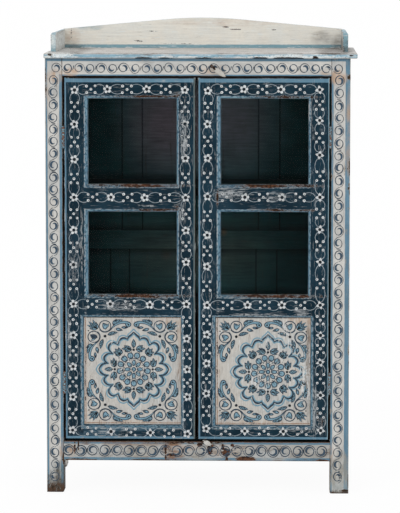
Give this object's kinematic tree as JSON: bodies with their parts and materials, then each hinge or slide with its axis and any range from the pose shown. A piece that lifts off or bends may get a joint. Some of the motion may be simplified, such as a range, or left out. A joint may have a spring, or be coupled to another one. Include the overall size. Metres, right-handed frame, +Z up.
{
  "type": "painted cabinet",
  "caption": "Tall free-standing wooden cupboard with a pair of glazed and panelled hinged doors, shelves inside, a low gallery on its top and wooden turn-buttons.",
  "frame": {"origin": "centre of the footprint, at floor level", "axes": "+Z up, the doors face -Y, +X to the right as seen from the front"},
  "size_m": [0.861, 0.46, 1.3105],
  "materials": {
    "cream_paint": "old cream paint, worn",
    "top_paint": "old cream and blue paint",
    "side_paint": "old plain cream paint",
    "navy_paint": "old dark blue paint, worn",
    "inner_wood": "bare dark brown wood",
    "button_wood": "bare wood, rubbed",
    "glass": "old window glass",
    "painted_hinge": "dull, painted",
    "iron": "dull iron"
  },
  "bodies": {
    "carcass": {"post_front_left": "cream_paint", "post_front_right": "cream_paint", "post_back_left": "cream_paint", "post_back_right": "cream_paint", "header_rail": "cream_paint", "bottom_rail": "cream_paint", "back_top_rail": "inner_wood", "back_mid_rail": "inner_wood", "back_bottom_rail": "inner_wood", "back_muntins": "inner_wood", "back_boards": "inner_wood", "side_top_rail_left": "side_paint", "side_mid_rail_left": "side_paint", "side_bottom_rail_left": "side_paint", "side_boards_left": "side_paint", "side_top_rail_right": "side_paint", "side_mid_rail_right": "side_paint", "side_bottom_rail_right": "side_paint", "side_boards_right": "side_paint", "floor_boards": "inner_wood", "shelf_lower": "inner_wood", "shelf_upper": "inner_wood", "shelf_bearers": "inner_wood", "top_board": "top_paint", "gallery_side_left": "cream_paint", "gallery_side_right": "cream_paint", "gallery_back": "cream_paint", "hinge_frame_leaves": "painted_hinge", "hinge_pins": "iron", "turn_button_nails": "iron"},
    "left_door": {"left_door_hinge_stile": "navy_paint", "left_door_meeting_stile": "navy_paint", "left_door_top_rail": "navy_paint", "left_door_mid_rail": "navy_paint", "left_door_lock_rail": "navy_paint", "left_door_bottom_rail": "navy_paint", "left_door_panel": "cream_paint", "left_door_upper_glass": "glass", "left_door_lower_glass": "glass", "left_door_upper_beads": "inner_wood", "left_door_lower_beads": "inner_wood", "left_door_hinge_leaves": "painted_hinge"},
    "right_door": {"right_door_hinge_stile": "navy_paint", "right_door_meeting_stile": "navy_paint", "right_door_top_rail": "navy_paint", "right_door_mid_rail": "navy_paint", "right_door_lock_rail": "navy_paint", "right_door_bottom_rail": "navy_paint", "right_door_panel": "cream_paint", "right_door_upper_glass": "glass", "right_door_lower_glass": "glass", "right_door_upper_beads": "inner_wood", "right_door_lower_beads": "inner_wood", "right_door_hinge_leaves": "painted_hinge"},
    "top_button": {"top_turn_button": "button_wood"},
    "bottom_button": {"bottom_turn_button": "button_wood"}
  },
  "joints": [
    {"name": "left_door_hinge", "type": "hinge", "parent": "carcass", "child": "left_door", "pos_m": [-0.3779, -0.2223, 0.6505], "axis": [0, 0, -1], "range_deg": [0, 165]},
    {"name": "right_door_hinge", "type": "hinge", "parent": "carcass", "child": "right_door", "pos_m": [0.3574, -0.2223, 0.6505], "axis": [0, 0, 1], "range_deg": [0, 165]},
    {"name": "top_button_nail", "type": "hinge", "parent": "carcass", "child": "top_button", "pos_m": [0.0315, -0.2225, 1.1864], "axis": [0, 1, 0], "range_deg": [-51, 159]},
    {"name": "bottom_button_nail", "type": "hinge", "parent": "carcass", "child": "bottom_button", "pos_m": [0.0325, -0.2225, 0.1344], "axis": [0, 1, 0], "range_deg": [-119, 122]}
  ]
}
